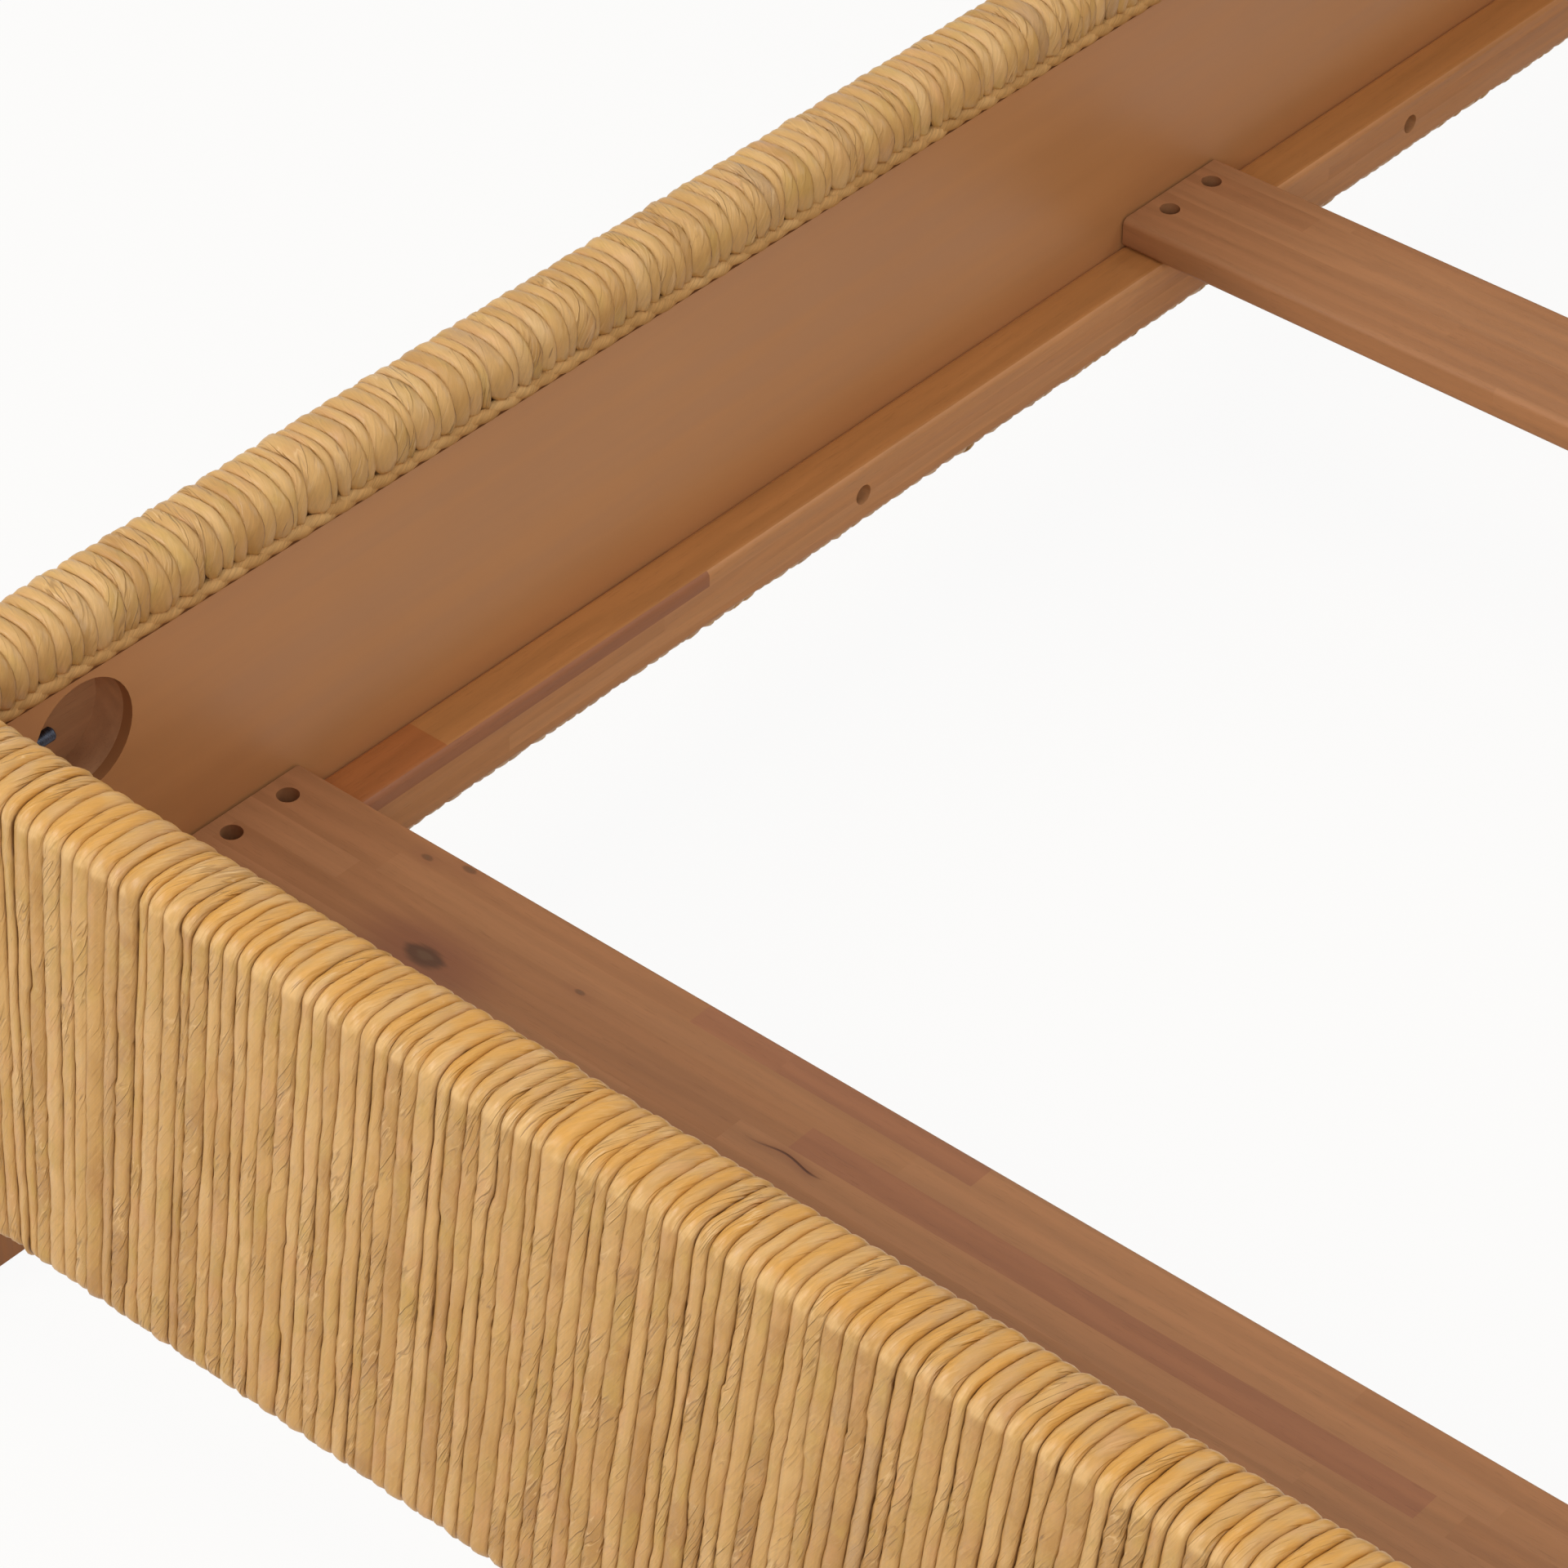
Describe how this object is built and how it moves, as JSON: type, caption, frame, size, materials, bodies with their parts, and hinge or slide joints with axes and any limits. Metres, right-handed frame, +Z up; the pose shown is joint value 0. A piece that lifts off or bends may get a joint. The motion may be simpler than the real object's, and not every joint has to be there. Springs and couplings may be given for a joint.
{
  "type": "bed frame",
  "caption": "Double bed frame with rails and headboard wrapped in thick twisted banana-fibre cord, brown inner panels, ledgers and wide laminated crossbars on wooden legs.",
  "frame": {"origin": "on the floor, under the middle of the bed's overall length and width", "axes": "+Y from the foot rail to the headboard, +X to the right of someone at the foot end looking at the headboard, +Z up"},
  "size_m": [1.475, 2.0126, 1.1],
  "materials": {
    "banana_cord": "twisted banana-fibre cord, dull with a slight sheen",
    "painted_panel": "brown satin stain",
    "hardwood": "laminated hardwood, oiled",
    "core_wood": "raw softwood",
    "dark_steel": "dark zinc-plated steel",
    "glide": "matte"
  },
  "bodies": {
    "root": {"foot_rail_core": "core_wood", "foot_rail_cord_wrap": "banana_cord", "foot_rail_inner_panel": "painted_panel", "foot_rail_welt": "banana_cord", "headboard_core": "core_wood", "headboard_cord_wrap": "banana_cord", "headboard_back_panel": "painted_panel", "headboard_welt": "banana_cord", "left_rail_core": "core_wood", "left_rail_cord_wrap": "banana_cord", "left_rail_inner_panel": "painted_panel", "left_rail_welt": "banana_cord", "left_ledger": "hardwood", "left_ledger_screw_1": "dark_steel", "left_ledger_screw_2": "dark_steel", "left_ledger_screw_3": "dark_steel", "left_ledger_screw_4": "dark_steel", "foot_left_stud": "dark_steel", "foot_left_nut": "dark_steel", "foot_left_leg": "hardwood", "foot_left_glide": "glide", "head_left_stud": "dark_steel", "head_left_nut": "dark_steel", "head_left_leg": "hardwood", "head_left_glide": "glide", "right_rail_core": "core_wood", "right_rail_cord_wrap": "banana_cord", "right_rail_inner_panel": "painted_panel", "right_rail_welt": "banana_cord", "right_ledger": "hardwood", "right_ledger_screw_1": "dark_steel", "right_ledger_screw_2": "dark_steel", "right_ledger_screw_3": "dark_steel", "right_ledger_screw_4": "dark_steel", "foot_right_stud": "dark_steel", "foot_right_nut": "dark_steel", "foot_right_leg": "hardwood", "foot_right_glide": "glide", "head_right_stud": "dark_steel", "head_right_nut": "dark_steel", "head_right_leg": "hardwood", "head_right_glide": "glide", "crossbar_1": "hardwood", "centre_leg_1": "hardwood", "crossbar_1_screw_1": "dark_steel", "crossbar_1_screw_2": "dark_steel", "crossbar_1_screw_3": "dark_steel", "crossbar_1_screw_4": "dark_steel", "crossbar_2": "hardwood", "centre_leg_2": "hardwood", "crossbar_2_screw_1": "dark_steel", "crossbar_2_screw_2": "dark_steel", "crossbar_2_screw_3": "dark_steel", "crossbar_2_screw_4": "dark_steel", "crossbar_3": "hardwood", "centre_leg_3": "hardwood", "crossbar_3_screw_1": "dark_steel", "crossbar_3_screw_2": "dark_steel", "crossbar_3_screw_3": "dark_steel", "crossbar_3_screw_4": "dark_steel"}
  },
  "joints": []
}
